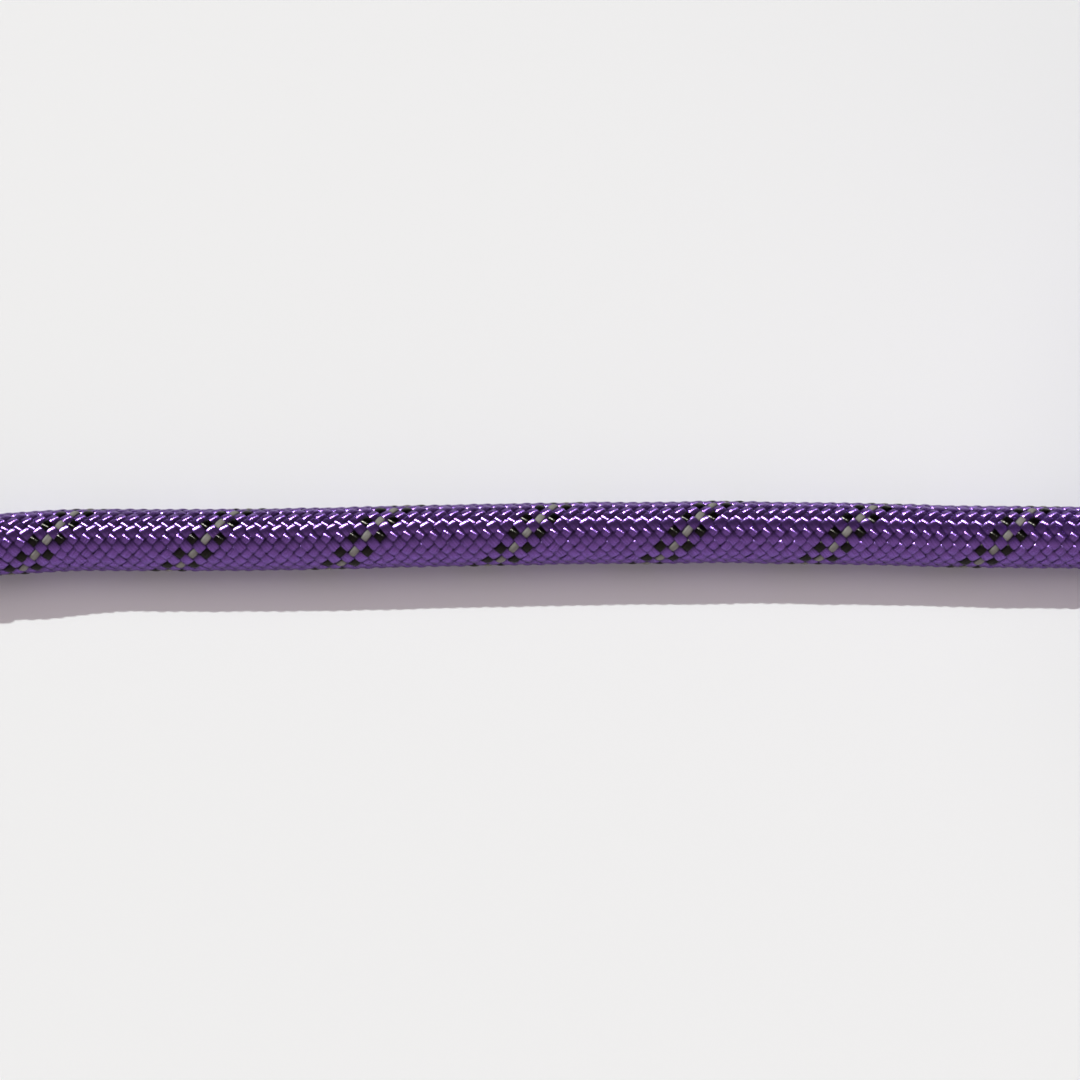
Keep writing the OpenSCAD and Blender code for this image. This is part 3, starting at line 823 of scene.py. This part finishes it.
def fused_mesh(name, low, high, face_sign):
    """A melted disc: rings of growing radius over the face, round the rim and back on the inside.
    The face is dented by 0.035 cos(3a + 9 share) + 0.03 cos(7a - 14 share) of its length, in lumps
    where core strands ran together, and its rim waves by 0.012 (1 + cos 5a) of the radius."""
    y, z = (low[1] + high[1]) / 2, (low[2] + high[2]) / 2
    radius = (high[2] - low[2]) / 2
    length = high[0] - low[0]
    share, depth = DISC_SHARE[:, None], DISC_DEPTH[:, None]
    a = np.linspace(0, 2 * np.pi, DISC_SIDES, endpoint=False)
    lumps = LUMP_WIDE * np.cos(3 * a[None] + 9 * share) + LUMP_SMALL * np.cos(7 * a[None] - 14 * share)
    lumps = (LUMP_MEAN + lumps) * (depth < 0.5) * (share > 0.05)
    back = (depth + lumps) * length
    x = low[0] + back if face_sign < 0 else high[0] - back
    r = share * radius * (1 - RIM_WAVE * (1 + np.cos(5 * a[None])))
    turn = a if face_sign < 0 else -a
    grid = np.stack([x, y + r * np.sin(turn), z + r * np.cos(turn)], axis=-1)
    uv = np.stack(np.broadcast_arrays(np.linspace(0, 1, DISC_SIDES + 1)[None, :], share), axis=-1)
    return grid_mesh(name, [(grid, uv, 1)])


print("A melted end has", len(DISC_SHARE), "rings")

# %% Make the ends
for side, face_sign in (("lead", -1), ("hank", 1)):
    low, high = (np.array(c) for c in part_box("end_sleeve_" + side))
    sleeve = make_piece("sleeve_" + side, sleeve_mesh("sleeve_" + side, low, high), sleeve_material)
    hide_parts("end_sleeve_" + side)
    low, high = (np.array(c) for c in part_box("fused_end_" + side))
    disc = make_piece("fused_" + side, fused_mesh("fused_" + side, low, high, face_sign),
                      fused_material)
    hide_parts("fused_end_" + side)

# %% [markdown]
# ## The strap
#
# A strap of woven webbing goes once round the waist of the hank and closes on itself on top, with
# hooks on one face and loops on the other. Its section is carried round a rounded rectangle.

# %% Material: woven webbing
# Dull black yarn in a dense weave: where ribs across the strap and threads along it stand up
# together, the colour is painted lighter, a painted highlight where they would catch a little light,
# and the loose hairs on top give it a faint haze. Blender's wave repeats 20 times in 2 pi, so the
# scales below are a rib every 0.63 mm and a thread every 0.9 mm, about as on real webbing.
RIBS, THREADS = 0.5, 0.35
CLOTH_DARK, CLOTH_PAINTED_LIGHT = "#0E0F12", "#2B2D33"
m, out = new_material("woven_webbing")
uv = add(m, "UVMap", uv_map="yarn")
ribs = add(m, "TexWave", {"Vector": uv, "Scale": RIBS, "Distortion": 0.6, "Detail": 1.0},
           bands_direction="Y").outputs["Fac"]
threads = add(m, "TexWave", {"Vector": uv, "Scale": THREADS, "Distortion": 0.3},
              bands_direction="X").outputs["Fac"]
cloth = add(m, "Math", {0: ribs, 1: threads}, operation="MULTIPLY")
shade = add(m, "Mix", {0: cloth, 6: linear(CLOTH_DARK), 7: linear(CLOTH_PAINTED_LIGHT)}, data_type="RGBA")
bump = add(m, "Bump", {"Height": cloth, "Strength": 0.8, "Distance": 0.15 * MM})
webbing = finish_with(m, out, add(m, "BsdfPrincipled", {
    "Base Color": shade.outputs[2], "Roughness": 0.7, "Specular IOR Level": 0.25,
    "Sheen Weight": 0.15, "Normal": bump}))

# %% Shape of the strap
TIE_W = tie_high[0] - tie_low[0]
TIE_THICK = TIE_T * MM
TIE_CORNER = 4 * MM + TIE_THICK / 2  # radius of the strap's middle line at a corner
SECTION_SIDES = 20
SECTION_X, SECTION_OUT = 0.25, 0.5  # the smaller, the squarer the section


def strap_mesh(name, y, z, ny, nz, closed, width=1.0):
    """The strap's section carried along a line in the cross plane; (ny, nz) points outwards. The
    section is half the width times |cos q| ** 0.25 across and half the thickness times
    |sin q| ** 0.5 outwards, each with its sign: a rectangle with rounded edges."""
    q = np.linspace(0, 2 * np.pi, SECTION_SIDES, endpoint=False) + np.pi / SECTION_SIDES
    c, s = np.cos(q), np.sin(q)
    across = np.sign(c) * np.abs(c) ** SECTION_X * TIE_W / 2
    out = np.sign(s) * np.abs(s) ** SECTION_OUT * TIE_THICK / 2
    x = HANK_X + across[None, :] * np.broadcast_to(width, y.shape)[:, None]
    grid = np.stack([x, y[:, None] + out[None] * ny[:, None], z[:, None] + out[None] * nz[:, None]],
                    axis=-1)
    run = run_of(np.stack([y, z], axis=1)) / MM
    turn = np.linspace(0, 2 * (TIE_W + TIE_THICK) / MM, SECTION_SIDES + 1)
    uv = np.stack(np.broadcast_arrays(turn[None, :], run[:, None]), axis=-1)
    return grid_mesh(name, [(grid, uv, 1)], closed=closed)


print("The strap is", round(TIE_W / MM, 1), "mm wide")

# %% The ring round the waist
PER_CORNER = 9  # points of a quarter turn
PER_SIDE = 12  # steps of the straight side behind it
ring_low, ring_high = tie_low[2] + TIE_THICK / 2, tie_high[2] - 1.5 * TIE_THICK
half_w = (tie_high[1] - tie_low[1]) / 2 - TIE_THICK / 2
middle_y = (tie_low[1] + tie_high[1]) / 2
corners = [(half_w, ring_low, -90), (half_w, ring_high, 0), (-half_w, ring_high, 90),
           (-half_w, ring_low, 180)]
ring = []
for y_edge, z_edge, start in corners:
    cy = middle_y + math.copysign(abs(y_edge) - TIE_CORNER, y_edge)
    cz = z_edge + (TIE_CORNER if z_edge == ring_low else -TIE_CORNER)
    for angle in np.radians(np.linspace(start, start + 90, PER_CORNER)):
        ring.append((cy, cz, math.cos(angle), math.sin(angle)))
dense = np.concatenate([
    np.linspace(i, i + 1, PER_SIDE if i % PER_CORNER == PER_CORNER - 1 else 1, endpoint=False)
    for i in range(len(ring))])
looped = np.array(ring + ring[:1])
cy, cz, ny, nz = (np.interp(dense, np.arange(len(looped)), looped[:, k]) for k in range(4))
strap = make_piece("strap", strap_mesh("strap", cy + TIE_CORNER * ny, cz + TIE_CORNER * nz, ny, nz,
                                       True), webbing)
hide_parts("hank_tie")

# %% The lap on top
TIE_LAP = 34 * MM
LAP_POINTS = 24
LAP_ROUND = 3 * MM  # the lap's ends are rounded over this length,
LAP_END = 0.8  # down to this share of the width
lap_y = middle_y + np.linspace(TIE_LAP / 2, -TIE_LAP / 2, LAP_POINTS)
lap_z = np.full(LAP_POINTS, tie_high[2] - TIE_THICK / 2)
lap_edge = np.clip(np.minimum(lap_y - lap_y[-1], lap_y[0] - lap_y) / LAP_ROUND, 0, 1)
lap_width = LAP_END + (1 - LAP_END) * np.sqrt(1 - (1 - lap_edge) ** 2)
lap = make_piece("strap_lap", strap_mesh("strap_lap", lap_y, lap_z, np.zeros(LAP_POINTS),
                                         np.ones(LAP_POINTS), False, lap_width), webbing)

# %% [markdown]
# ## The two free lengths
#
# Both cords leave from the place where the straight stretch meets the hank: one runs to the loose
# end, the other through all the loops to the tail.

# %% [markdown]
# ## What the sheath hides
#
# Under the sheath lie twelve twisted cords of raw white polyamide and a plain coloured marker tape.
# They keep their CAD form, since nothing of them shows, and get the looks that they have when a
# rope is cut open: a fine twist in the cords and a smooth film for the tape.

# %% Material: twisted core yarn
# Undyed polyamide, twisted and heat-set: a warm, silky white with a slanting twist line every 2.3 mm.
CORE_SHADE, CORE_WHITE = "#CFCBBE", "#F1EEE4"
m, out = new_material("twisted_core_yarn")
place = add(m, "TexCoord").outputs["Object"]
twist = add(m, "TexWave", {"Vector": place, "Scale": 0.16 / MM, "Distortion": 1.0},
            bands_direction="DIAGONAL").outputs["Fac"]
white = add(m, "Mix", {0: twist, 6: linear(CORE_SHADE), 7: linear(CORE_WHITE)}, data_type="RGBA")
bump = add(m, "Bump", {"Height": twist, "Strength": 0.7, "Distance": 0.1 * MM})
core_material = finish_with(m, out, add(m, "BsdfPrincipled", {
    "Base Color": white.outputs[2], "Roughness": 0.5, "IOR": 1.53, "Normal": bump}))

# %% Material: polyester film tape
# Slit from a drawn film, so it is smooth and glossy, with faint clouds 3 mm wide in its ochre.
TAPE_DARK, TAPE_LIGHT = "#CF962A", "#E2AE3C"
m, out = new_material("polyester_film_tape")
place = add(m, "TexCoord").outputs["Object"]
film = add(m, "TexNoise", {"Vector": place, "Scale": 0.3 / MM})
ochre = add(m, "Mix", {0: film, 6: linear(TAPE_DARK), 7: linear(TAPE_LIGHT)}, data_type="RGBA")
tape_material = finish_with(m, out, add(m, "BsdfPrincipled", {
    "Base Color": ochre.outputs[2], "Roughness": 0.3}))

# %% Dress the CAD nodes, by the start of their names
CAD_LOOKS = {"core": core_material, "fused": fused_material, "end_sleeve": sleeve_material,
             "sheath_lead": weave, "rope_hank": weave, "marker_tape": tape_material,
             "hank_tie": webbing}
for node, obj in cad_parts.items():
    obj.data.materials.clear()
    obj.data.materials.append(next(CAD_LOOKS[key] for key in CAD_LOOKS if node.startswith(key)))
print(len(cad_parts), "CAD nodes dressed")

# %% [markdown]
# ## The table
#
# The table is a plain matt white board, a little cool in tone. It is only a stage: the rope takes
# its shadow with it, and the table stays behind.

# %% Table
TABLE_WHITE = "#ECEEF1"  # chalk-matt paint, so it takes a shadow and gives no glare
SPAN = 4.0  # metres from the middle to each edge, so that no view shows the edge
m, out = new_material("table")
table_material = finish_with(m, out, add(m, "BsdfDiffuse", {"Color": linear(TABLE_WHITE)}))
table_mesh = bpy.data.meshes.new("table")
table_mesh.from_pydata([(-SPAN, -SPAN, 0), (SPAN, -SPAN, 0), (SPAN, SPAN, 0), (-SPAN, SPAN, 0)],
                       [], [(0, 1, 2, 3)])
table_mesh.materials.append(table_material)
table = bpy.data.objects.new("table", table_mesh)
bpy.context.scene.collection.objects.link(table)
print("Table", 2 * SPAN, "m wide")

# %% [markdown]
# ## Light
#
# One small hard lamp stands behind the rope on the left, and gives it its long shadow and the
# streaks on the yarn. A second one at the same place lights the glances alone, because a real lamp
# is far brighter in a mirror than on a matt wall. A wide soft lamp above fills the shadow, and a
# weak glow from the front keeps the near side of the rope purple. The hard light is a little
# greener and the soft light a little pinker, so that shadows are tinged and the open table is not.


# %% Lamps
def far_lamp(name, toward, strength, angle, colour, diffuse=True, glossy=True):
    """A lamp so far away that its light is parallel; angle is how wide it looks from the table."""
    data = bpy.data.lights.new(name, "SUN")
    data.energy, data.angle, data.color = strength, math.radians(angle), colour
    lamp = bpy.data.objects.new(name, data)
    lamp.rotation_euler = Vector(toward).to_track_quat("Z", "Y").to_euler()
    lamp.visible_diffuse, lamp.visible_glossy = diffuse, glossy
    bpy.context.scene.collection.objects.link(lamp)
    print("Lamp", name, "of strength", strength)


KEY_FROM, FILL_FROM = (-0.55, 0.525, 0.65), (0, 0.34, 0.94)
KEY_STRENGTH, GLINT_STRENGTH, FILL_STRENGTH = 2.82, 4.8, 0.87
KEY_WIDTH, FILL_WIDTH = 1.0, 60.0  # degrees
COOL, WARM = (0.94, 1.0, 0.93), (1.0, 0.87, 0.885)
far_lamp("key", KEY_FROM, KEY_STRENGTH, KEY_WIDTH, COOL)
far_lamp("glint", KEY_FROM, GLINT_STRENGTH, KEY_WIDTH, COOL, diffuse=False)
far_lamp("fill", FILL_FROM, FILL_STRENGTH, FILL_WIDTH, WARM, glossy=False)

# %% The glow of the room
FRONT, BACK = -0.95, 0.15  # from the front of the room to just past overhead
FRONT_GLOW, BACK_GLOW = 0.72, 0.05
world = bpy.data.worlds.new("studio")
world.use_nodes = True
bpy.context.scene.world = world
toward = add(world, "SeparateXYZ", {0: add(world, "TexCoord").outputs["Generated"]})
glow = add(world, "MapRange", {0: toward.outputs["Y"], 1: FRONT, 2: BACK, 3: FRONT_GLOW, 4: BACK_GLOW},
           interpolation_type="SMOOTHSTEP")
background = world.node_tree.nodes["Background"]
background.inputs["Color"].default_value = (*WARM, 1)
world.node_tree.links.new(glow.outputs[0], background.inputs["Strength"])
bpy.context.scene.view_settings.view_transform = "Standard"
print("Glow of the room from", BACK_GLOW, "behind to", FRONT_GLOW, "in front")
